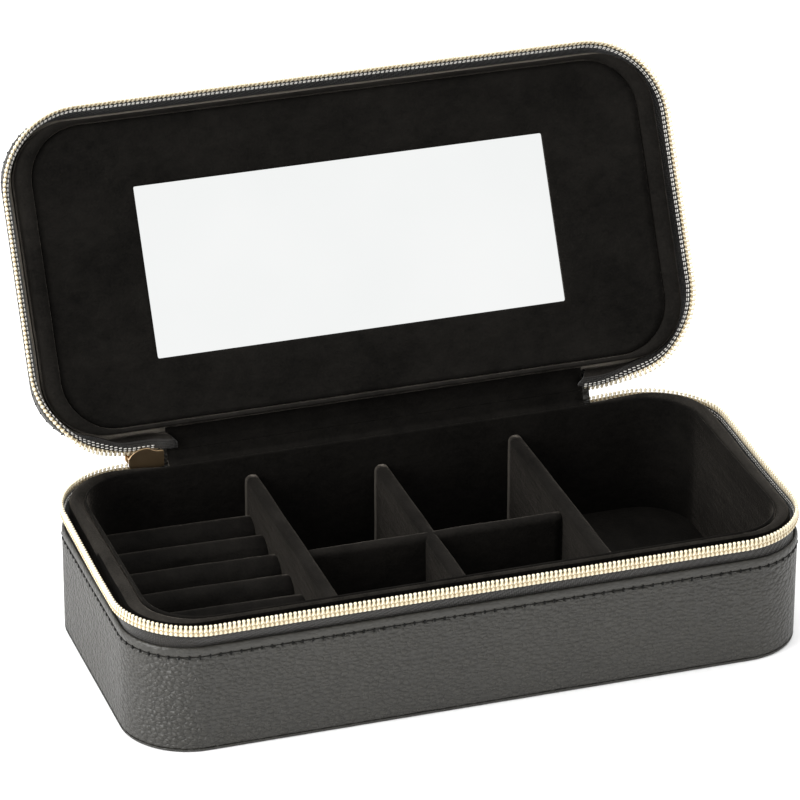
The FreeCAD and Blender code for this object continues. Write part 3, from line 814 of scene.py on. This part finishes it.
def s_for_back_x(x):
    """The distance along the zip line where its back half is at that x."""
    s = np.linspace(0, zip_line.length, 20001)
    place, _ = zip_line.point(zip_line.u_at(s))
    back = (place[:, 1] > 0) & (s < zip_line.length / 2 if x > 0 else s > zip_line.length / 2)
    candidates = np.where(back)[0]
    return s[candidates[np.argmin(np.abs(place[candidates, 0] - x))]]


TAPE_SPARE = 2.5  # tape past the last tooth
TAPE_ROOT_Z, TAPE_RISE_HEIGHT = 35.0, 4.0
lay_zip("base", ZIP_END, zip_line.length - ZIP_END)
tape_u = zip_line.spread(3.0, 20, ZIP_END - TAPE_SPARE, zip_line.length - ZIP_END + TAPE_SPARE)
tape_grid = between(case, zip_line, tape_u, thick(TAPE_CENTRE))
tape_lift = np.clip((tape_grid[..., 2] - TAPE_ROOT_Z) / TAPE_RISE_HEIGHT, 0, 1)
tape_grid[..., 2] += tape_lift * row_rise(zip_line.s_at(tape_u))[:, None]
settle(skin("base_tape", tape_grid, tape, wrap=False), "base", "zip_tape", "base_zip_tape")

lid_ends = s_for_back_x(BEND_X), s_for_back_x(-BEND_X)
lay_zip("lid", *lid_ends, opened)
FLARE_Z = 38.4  # past this height the lid's tape leans outward with its teeth
LID_TAPE_CENTRE = [
    (share, outset + (LID_HEAD[0] - HEAD[0]) * max(0.0, z - FLARE_Z) / (LID_HEAD[1] - FLARE_Z), z)
    for share, outset, z in TAPE_CENTRE
]
LID_TAPE_PROFILE = [(share, outset, 2 * ZIP_PLANE - z) for share, outset, z in thick(LID_TAPE_CENTRE)[::-1]]
tape_grid = between(case, zip_line, zip_line.spread(3.0, 20, *lid_ends), LID_TAPE_PROFILE)
settle(skin("lid_tape", opened(tape_grid), tape, wrap=False), "lid", "zip_tape", "lid_zip_tape")

# The end tapes follow the lid at their root and the teeth at their tip.
ZIP_ROOT_Z = 51.9
ZIP_TIP_Z = 47.0
VELVET_FROM_Z = 47.6  # above this they are covered with velvet, drawn lighter as painted sheen
END_DRAWN_IN = 1.7


def tilted(vectors, share):
    """Directions of the shut lid turned by a share of the lid's opening."""
    angle = np.radians(LID_OPENING) * share
    y, z = vectors[:, 1], vectors[:, 2]
    cos, sin = np.cos(angle), np.sin(angle)
    return np.column_stack([vectors[:, 0], y * cos + z * sin, z * cos - y * sin])


def carried(points, share, lift):
    """Points of the shut lid on the straight way to the open lid, raised by lift at the start."""
    share = share[:, None]
    return (points + (0.0, 0.0, lift)) * (1 - share) + opened(points) * share


def zip_end(side, shut_x, open_x, stop_x, lift):
    """The end of the lid's zip row, which leaves the lid and comes down beside the base's row.

    It follows the spine at shut_x and the lid at open_x, and its teeth stop at stop_x.
    """
    stop_s, open_s = s_for_back_x(stop_x), s_for_back_x(open_x)
    start, end = ((x * MM, FOLD_Y * MM, LOW_FOLD * MM) for x in (shut_x, open_x))
    origin, tangent, way, outward = zip_frames(tooth_places(*sorted((stop_s, open_s))), True)
    share = eased(origin[:, 0], shut_x, open_x)
    frames = [carried(origin, share, lift)] + [tilted(ways, share) for ways in (tangent, way, outward)]
    for piece, _, slot in zip_pieces("lid_zip_%s_" + side, frames):
        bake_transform(piece)
        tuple(start)
        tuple(end)
    tape_stop = stop_s + (-2.0 if side == "right" else 4.0)
    u = zip_line.spread(1.5, 30, *sorted((tape_stop, open_s)))
    grid = between(case, zip_line, u, LID_TAPE_PROFILE)
    flat = grid.reshape(-1, 3)
    head = np.repeat(zip_frames(zip_line.s_at(u), True)[0], grid.shape[1], axis=0)
    share = eased(head[:, 0], shut_x, open_x)
    root = eased(flat[:, 2], ZIP_TIP_Z, ZIP_ROOT_Z)[:, None]
    flat = (carried(head, share, lift) + tilted(flat - head, share)) * (1 - root) + opened(flat) * root
    if side == "left":  # the tape's own end is drawn in towards the lining
        flat[:, 1] -= END_DRAWN_IN * eased(flat[:, 0], -73.0, -68.0)
    piece = skin("lid_tape_" + side, flat.reshape(grid.shape), tape, wrap=False)
    upper = grid[..., 2].ravel() > VELVET_FROM_Z
    # The upper faces get the lighter velvet copy, painted sheen.
    second_paint(piece, velvet_painted_sheen, lambda face: all(upper[vertex] for vertex in face.vertices))
    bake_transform(piece)
    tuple(start)
    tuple(end)


zip_end("left", -79.0, -BEND_X, -69.0, 3.2)
zip_end("right", 72.0, BEND_X, 69.0, 2.3)


# ---- velvet inside the base

COLLAR_PROFILE = [
    (0.0, -2.5, 34.8), (0.0, -2.45, 39.0), (0.0, -2.55, 41.0), (0.05, -2.6, 41.9), (0.16, -2.5, 42.45),
    (0.32, -2.1, 42.68), (0.5, -1.5, 42.66), (0.7, -0.7, 42.5), (0.86, 0.1, 42.2), (0.96, 0.7, 41.7),
    (1.0, 0.98, 40.9), (1.0, 0.95, 34.8),
]
COLLAR_GAP_Z = 41.9  # below this the collar's velvet is painted darker, as shade in the gap
COLLAR_PULL = np.array([eased(0.75 - share, 0.0, 0.6) for share, _, _ in COLLAR_PROFILE])
collar_u = case.spread(3.0, 22)[:-1]
grid = between(case, tray, collar_u, COLLAR_PROFILE)
from_hinge = zip_line.s_at(collar_u)
from_hinge = np.minimum(from_hinge, zip_line.length - from_hinge)
pulled = row_rise(zip_line.s_at(collar_u)) * eased(from_hinge, 60.0, 76.0)
grid[..., 2] += (grid[..., 2] > 40.0) * COLLAR_PULL[None, :] * pulled[:, None]
# The collar pad is drawn in the lighter velvet copy, a painted highlight for the sheen along its rounded
# rims.
collar = skin("base_collar_pad", soften(grid, 0.08, 16.0, 5), velvet_painted_rim_light)
# The collar's faces low in the gap get the dark velvet copy, painted shade.
second_paint(collar, velvet_painted_gap_shade, lambda face: face.center.z / MM < COLLAR_GAP_Z)
settle(collar, "base", "velvet", "base_collar")

LINING_PROFILE = [
    (0.8, 3.0), (0.8, 20.0), (0.8, 42.4), (0.68, 42.95), (0.42, 43.2), (0.15, 43.0), (0.02, 42.5),
    (0.02, 30.0), (0.02, 16.0), (0.02, 4.25), (0.02, 3.0),
]
grid = along(tray, tray.spread(3.0, 22)[:-1], LINING_PROFILE)
settle(skin("tray_lining", soften(grid, 0.05, 22.0, 8), velvet), "base", "velvet", "tray_wall_lining")


def box_mm(node):
    """The lowest and highest corner of a CAD node."""
    return [[c / MM for c in corner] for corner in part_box(node)]


ROUND = 1.9  # radius along the top of a divider


def padded_wall(node, across, seed):
    """A divider as an upright velvet panel with a soft round top; across is the axis of its thickness."""
    low, high = box_mm(node)
    half = (high[across] - low[across]) / 2
    middle = (low[across] + high[across]) / 2
    start, end = low[1 - across], high[1 - across]
    section = [(half, z) for z in np.linspace(low[2], high[2] - ROUND, 8)]
    for a in np.radians(np.linspace(0, 90, 6)[1:]):
        section.append((half - ROUND + ROUND * math.cos(a), high[2] - ROUND + ROUND * math.sin(a)))
    section += [(-x, z) for x, z in section[::-1]]
    steps = np.linspace(start, end, max(8, int((end - start) / 2.5)))
    grid = np.array([[(middle + x, y, z) for x, z in section] for y in steps])
    flat = grid.reshape(-1, 3)
    fade = np.clip((flat[:, 2] - low[2]) / 6.0, 0, 1)
    flat[:, 0] += 0.10 * smooth_noise(flat, 18.0, seed) * fade
    flat[:, 2] += 0.12 * smooth_noise(flat, 26.0, seed + 50) * (flat[:, 2] > high[2] - 2.5)
    if across == 1:
        grid = grid[..., [1, 0, 2]]
    settle(skin(node + "_pad", grid, velvet_soft, wrap=False), "base", "velvet_dividers", node)


padded_wall("divider_left", 0, 20)
padded_wall("divider_right", 0, 21)
padded_wall("divider_middle", 0, 22)
padded_wall("divider_cross", 1, 31)


# ---- ring rolls


def roll_shell(low, high):
    """The sewn shape of a roll before it is filled: a box with a round top."""
    inset, headroom = 0.35, 0.3
    half = (high[1] - low[1]) / 2 - inset
    middle = (low[1] + high[1]) / 2
    round_z = high[2] - headroom - half
    section = [(half, z) for z in np.linspace(low[2], round_z, 6)]
    for a in np.radians(np.linspace(0, 180, 13)[1:-1]):
        section.append((half * math.cos(a), round_z + half * math.sin(a)))
    section += [(-half, z) for z in np.linspace(round_z, low[2], 6)]
    steps = np.linspace(low[0] + inset, high[0] - inset, 30)
    return np.array([[(x, middle + y, z) for y, z in section] for x in steps])


def trimmed(points):
    """Points kept inside the tray's rounded outline."""
    flat_x, flat_y, radius = tray.flat_x, tray.flat_y, tray.radius - 0.25
    corner = (np.abs(points[:, 0]) > flat_x) & (np.abs(points[:, 1]) > flat_y)
    centre = np.column_stack([np.sign(points[:, 0]) * flat_x, np.sign(points[:, 1]) * flat_y])
    away = points[:, :2] - centre
    reach = np.linalg.norm(away, axis=1)
    out = corner & (reach > radius)
    points = points.copy()
    points[out, :2] = centre[out] + away[out] * (radius / reach[out])[:, None]
    return points


VOXEL = 1.3
CLOTH_FRAMES = 20
SWELL = 0.55  # the furthest that a point of a roll moves


def coordinates(piece):
    flat = np.zeros(len(piece.data.vertices) * 3)
    piece.data.vertices.foreach_get("co", flat)
    return flat.reshape(-1, 3)


def fill_roll(piece):
    """Blows the roll up a little as cloth, and caps how far any point goes."""
    bpy.context.view_layer.objects.active = piece
    piece.select_set(True)
    remesh = piece.modifiers.new("remesh", "REMESH")
    remesh.mode = "VOXEL"
    remesh.voxel_size = VOXEL * MM
    bpy.ops.object.modifier_apply(modifier="remesh")
    before = coordinates(piece)
    cloth = piece.modifiers.new("cloth", "CLOTH")
    cloth.settings.use_pressure = True
    cloth.settings.uniform_pressure_force = 4.0
    cloth.settings.effector_weights.gravity = 0.0
    cloth.settings.quality = 4
    cloth.point_cache.frame_end = CLOTH_FRAMES
    for number in range(1, CLOTH_FRAMES + 1):
        scene.frame_set(number)
    bpy.ops.object.modifier_apply(modifier="cloth")
    scene.frame_set(1)
    move = coordinates(piece) - before
    far = np.linalg.norm(move, axis=1)
    move *= np.minimum(1.0, SWELL * MM / np.maximum(far, 1e-9))[:, None]
    after = before + move
    after[:, 2] = np.maximum(after[:, 2], TRAY_FLOOR * MM)
    piece.data.vertices.foreach_set("co", after.ravel())
    piece.data.polygons.foreach_set("use_smooth", [True] * len(piece.data.polygons))
    piece.data.update()
    piece.select_set(False)


ROLL_SLOPE = 0.012  # the rolls' tops fall a little to the right
ROLL_TUCK = 1.4  # how far the right ends go into the divider
for number in range(1, 8):
    node_name = "ring_roll_%d" % number
    low, high = box_mm(node_name)
    grid = roll_shell(low, high)
    flat = trimmed(grid.reshape(-1, 3))
    flat[:, 2] += ROLL_SLOPE * (low[0] + 30 - flat[:, 0]) * (flat[:, 2] > low[2] + 8)
    roll = skin("ring_roll_pad_%d" % number, flat.reshape(grid.shape), velvet, wrap=False)
    fill_roll(roll)
    for vertex in roll.data.vertices:
        share = vertex.co.x / MM - (low[0] + high[0]) / 2
        vertex.co.x += ROLL_TUCK * MM * max(0.0, share) / ((high[0] - low[0]) / 2)
    settle(roll, "base", "velvet_rolls", node_name)


# ---- lid inside

LID_COLLAR_PROFILE = [
    (0.0, -2.5, 51.2), (0.0, -2.45, 46.5), (0.04, -2.4, 45.1), (0.15, -2.1, 44.45), (0.4, -1.2, 44.25),
    (0.7, -0.2, 44.3), (0.92, 0.2, 44.6), (1.0, 0.25, 45.3), (1.0, 0.1, 46.8), (1.0, 0.0, 48.3),
    (1.0, 0.0, 51.2),
]
grid = between(case, tray, collar_u, LID_COLLAR_PROFILE)
# The lid collar is drawn a little lighter than the lid panel, a painted faint rim highlight.
lid_collar = skin("lid_collar_pad", opened(soften(grid, 0.08, 18.0, 12)), velvet_lid_painted_rim_light)
settle(lid_collar, "lid", "velvet", "lid_collar")

PANEL_PROFILE = [
    (0.0, 0.0, 49.0), (0.0, 0.0, 48.55), (0.0, 0.25, 48.25), (0.02, 0.6, 48.1), (0.12, 0.4, 47.75),
    (0.35, 0.0, 47.3), (0.6, 0.0, 46.95), (0.8, 0.0, 46.6), (0.92, 0.0, 46.2), (1.0, -0.1, 46.0),
    (1.0, -0.1, 49.0),
]
PANEL_FACE_Z = 48.05
panel_u = np.concatenate([np.linspace(leg, leg + 1, 16, endpoint=False) for leg in range(9)])
grid = between(window, tray, panel_u, PANEL_PROFILE)
flat = grid.reshape(-1, 3).copy()
flat[:, 2] += 0.14 * smooth_noise(flat, 30.0, 41) * (flat[:, 2] < PANEL_FACE_Z)
lid_face = skin("lid_velvet_face", opened(flat).reshape(grid.shape), velvet)
settle(lid_face, "lid", "velvet", "lid_velvet_panel")


# ---- hinge


def hinge_strip(name, line, ends, thickness, material, slot, bodies, start, end, node=None, cloth_on=()):
    """A strip across the hinge that follows a line of (y, z) points at rest.

    Its bodies, start and end are not used.
    """
    line = np.array(line, float)
    way = np.gradient(line, axis=0)
    way /= np.linalg.norm(way, axis=1)[:, None]
    side = np.column_stack([-way[:, 1], way[:, 0]]) * thickness / 2
    loop = np.concatenate([line + side, (line - side)[::-1]])
    steps = np.linspace(ends[0], ends[1], 46)
    grid = np.array([[(x, y, z) for y, z in loop] for x in steps])
    piece = skin(name, grid, material, wrap=False)
    start, end = ((0.0, y * MM, z * MM) for y, z in (start, end))
    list(bodies)
    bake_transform(piece)
    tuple(start)
    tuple(end)
    if node:
        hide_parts(node)
    if cloth_on:
        width = float(np.linalg.norm(np.diff(line, axis=0), axis=1).sum())
        list(cloth_on)


def smooth_line(points, count):
    """A Catmull-Rom line through (y, z) points."""
    p = np.array([points[0]] + list(points) + [points[-1]], float)
    out = []
    per = max(2, count // (len(points) - 1))
    for i in range(1, len(p) - 2):
        for t in np.linspace(0, 1, per, endpoint=False):
            a, b, c, d = p[i - 1], p[i], p[i + 1], p[i + 2]
            curve = (2 * a - 5 * b + 4 * c - d) * t**2 + (3 * b - a - 3 * c + d) * t**3
            out.append(0.5 * (2 * b + (c - a) * t + curve))
    out.append(p[-2])
    return np.array(out)


def spine_point(y, z):
    """A point of the shut spine where it is in the open case."""
    return tuple(turned([(0.0, y, z)], SPINE_OPEN)[0][1:])


def lid_point(y, z):
    """A point of the shut lid where it is in the open case."""
    return tuple(opened([(0.0, y, z)])[0][1:])


SPINE_MIDDLE = (LOW_FOLD + HIGH_FOLD) / 2
LINING_Y, LINING_THICK = 49.6, 0.5
LEATHER_Y, LEATHER_THICK = 50.85, 0.75
inner_low = [(48.3, 37.2), (48.3, 39.6), (48.3, 41.7), (48.75, 42.55), (49.2, 42.75)]
inner_low += [spine_point(LINING_Y, z) for z in (42.9, 44.6, SPINE_MIDDLE)]
inner_high = [spine_point(LINING_Y, z) for z in (SPINE_MIDDLE, 48.2)] + [spine_point(49.55, 49.6)]
inner_high += [lid_point(y, z) for y, z in ((48.9, 47.6), (48.7, 46.0), (48.3, 44.9), (47.9, 44.5))]
outer_low = [(LEATHER_Y, 33.6), (LEATHER_Y, 36.0), (LEATHER_Y, 38.8), (50.9, 40.4)]
outer_low += [spine_point(LEATHER_Y, z) for z in (42.3, 44.0, SPINE_MIDDLE)]
outer_high = [spine_point(LEATHER_Y, z) for z in (SPINE_MIDDLE, 48.6, 49.8)]
outer_high += [lid_point(LEATHER_Y, z) for z in (51.6, 53.0, 54.6)]
lining = (LINING_ENDS, LINING_THICK, velvet, "velvet")
hide = (LEATHER_ENDS, LEATHER_THICK, leather, "spine_leather")
hinge_strip(
    "hinge_lining_low", smooth_line(inner_low, 42), *lining, ("base", "spine"),
    (49.0, 41.2), spine_point(LINING_Y, 43.6), "spine_lining", ["spine_board"],
)
hinge_strip(
    "hinge_lining_high", smooth_line(inner_high, 34), *lining, ("spine", "lid"),
    spine_point(LINING_Y, 48.6), lid_point(48.9, 47.0), cloth_on=["spine_board", "lid_wall_core"],
)
hinge_strip(
    "hinge_leather_low", smooth_line(outer_low, 34), *hide, ("base", "spine"),
    (LEATHER_Y, 40.2), spine_point(LEATHER_Y, 42.7), "spine_leather",
)
hinge_strip(
    "hinge_leather_high", smooth_line(outer_high, 34), *hide, ("spine", "lid"),
    spine_point(LEATHER_Y, 49.4), lid_point(LEATHER_Y, 52.0),
)


# ---- slider and pull


def hardware(name, parts, bevel, body, node):
    """Metal plates as one piece with soft edges, raised with the row that they ride on."""
    points, faces = gathered(*parts)
    piece = make_object(name, points + (0.0, 0.0, SLIDER_RISE), faces, gold, smooth=False)
    edge = piece.modifiers.new("bevel", "BEVEL")
    edge.width = bevel * MM
    edge.segments = 3
    edge.limit_method = "ANGLE"
    settle(piece, body, "zip_metal", node)


def plate(outline, y_low, y_high):
    """A plate standing in X and Z, between two Y levels, from its outline."""
    count = len(outline)
    points = [(x, y_low, z) for x, z in outline] + [(x, y_high, z) for x, z in outline]
    faces = [tuple(range(count)), tuple(range(2 * count - 1, count - 1, -1))]
    for i in range(count):
        k = (i + 1) % count
        faces.append((i, i + count, k + count, k))
    return points, faces


def block(x, z, y):
    """A plate with four corners, from its two ends along each axis."""
    return plate([(x[0], z[0]), (x[0], z[1]), (x[1], z[1]), (x[1], z[0])], *y)


def slider_outline(x_low, x_high, half, waist):
    """A slider plate: broad round shoulders at the mouth, drawn in to a straight tail."""
    length, swell = x_high - x_low, half - waist
    upper = [
        (1.0, waist * 0.7), (0.98, waist * 0.96), (0.9, waist), (0.78, waist + swell * 0.06),
        (0.68, waist + swell * 0.4), (0.6, waist + swell * 0.82), (0.52, half), (0.42, half * 0.99),
        (0.3, half * 0.92), (0.18, half * 0.78), (0.08, half * 0.55), (0.02, half * 0.28),
    ]
    upper = [(x_low + share * length, z) for share, z in upper]
    lower = [(x, -z) for x, z in upper[::-1]]
    return [(x, ZIP_PLANE + z) for x, z in upper + lower]


low, high = box_mm("zip_slider")
slider_parts = [
    plate(slider_outline(low[0], high[0], 4.0, 2.7), 54.15, 55.1),
    plate(slider_outline(low[0], high[0] + 0.6, 4.3, 2.9), 50.05, 50.75),
    block((-80.3, -77.8), (43.0, 42.2), (50.7, 54.2)),  # the wedge between the plates
    block((-77.0, -76.4), (43.8, 41.4), (55.0, 57.8)),  # the pull's bridge: two feet and a top
    block((-74.6, -74.0), (43.8, 41.4), (55.0, 57.8)),
    block((-77.0, -74.0), (43.8, 41.4), (57.25, 57.85)),
]
hardware("zip_slider_body", slider_parts, 0.18, "slider", "zip_slider")

TAB_ROUND = 2.5  # radius of the tab's round end
low, high = box_mm("zip_pull")
middle = (low[1] + high[1]) / 2
tab = [(-72.6, 44.9), (-73.4, 44.8), (-73.4, 40.4), (-72.6, 40.3)]
for a in np.radians(np.linspace(-90, 90, 13)):
    tab.append((high[0] - TAB_ROUND + TAB_ROUND * math.cos(a), ZIP_PLANE + TAB_ROUND * math.sin(a)))
pin = bar_template([(-1.6, 0.5, 0.5, 0), (1.6, 0.5, 0.5, 0)], 12)
pin_frame = np.array([[(-75.5, middle, ZIP_PLANE)], [(0, 0, 1)], [(1, 0, 0)], [(0, 1, 0)]], float)
pull_parts = [
    plate(tab, middle - 0.6, middle + 0.6),
    block((-76.7, -72.9), (44.1, 45.3), (middle - 0.55, middle + 0.55)),
    block((-76.7, -72.9), (39.9, 41.1), (middle - 0.55, middle + 0.55)),
    stamp(pin, *pin_frame),
]
hardware("zip_pull_tab", pull_parts, 0.22, "pull", "zip_pull")


# ---- studio


def studio():
    world = bpy.data.worlds.new("studio")
    scene.world = world
    world.use_nodes = True
    background = world.node_tree.nodes["Background"]
    background.inputs["Color"].default_value = (1.0, 1.0, 1.0, 1.0)
    background.inputs["Strength"].default_value = 0.95
    corners = [(-6000, -6000, 0), (6000, -6000, 0), (6000, 9000, 0), (-6000, 9000, 0)]
    floor = make_object("floor", corners, [(0, 1, 2, 3)], floor_paint(), smooth=False)
    aim = Vector((0.0, 0.0, 0.03))
    lights = [
        ("left_softbox", (-1.2, -0.25, 0.65), 0.8, 21.0),
        ("top_softbox", (0.1, 0.3, 1.6), 1.4, 22.0),
    ]
    for name, place, size, power in lights:
        data = bpy.data.lights.new(name, "AREA")
        data.shape = "RECTANGLE"
        data.size = data.size_y = size
        data.energy = power
        lamp = linked(name, data)
        lamp.location = place
        lamp.rotation_mode = "QUATERNION"
        lamp.rotation_quaternion = (aim - Vector(place)).to_track_quat("-Z", "Y")


def floor_paint():
    paint = Paint("pale_floor")
    paint.tint(paint.noise(3.0), (0.3, (0.93, 0.93, 0.93)), (0.7, (0.96, 0.96, 0.96)))
    paint.set(Roughness=0.9, Specular_IOR_Level=0.0)
    return paint.material


def camera():
    """The camera at the viewing angle: it looks from the front left, a little above."""
    azimuth, elevation, roll = np.radians((-18.573, 26.525, 0.189)).tolist()
    distance = 1.513
    aim = Vector((-0.00958, 0.0, 0.07937))
    level = math.cos(elevation)
    back = Vector((math.sin(azimuth) * level, -math.cos(azimuth) * level, math.sin(elevation)))
    right = Vector((math.cos(azimuth), math.sin(azimuth), 0.0))
    up = back.cross(right)
    right_rolled = right * math.cos(roll) + up * math.sin(roll)
    up_rolled = up * math.cos(roll) - right * math.sin(roll)
    data = bpy.data.cameras.new("camera")
    data.sensor_width = 36.0
    data.lens = 226.58
    data.clip_start, data.clip_end = 0.05, 60.0
    holder = linked("camera", data)
    turn = Matrix((right_rolled, up_rolled, back)).transposed().to_4x4()
    holder.matrix_world = Matrix.Translation(aim + back * distance) @ turn
    scene.camera = holder


studio()
camera()
scene.view_settings.view_transform = "Standard"
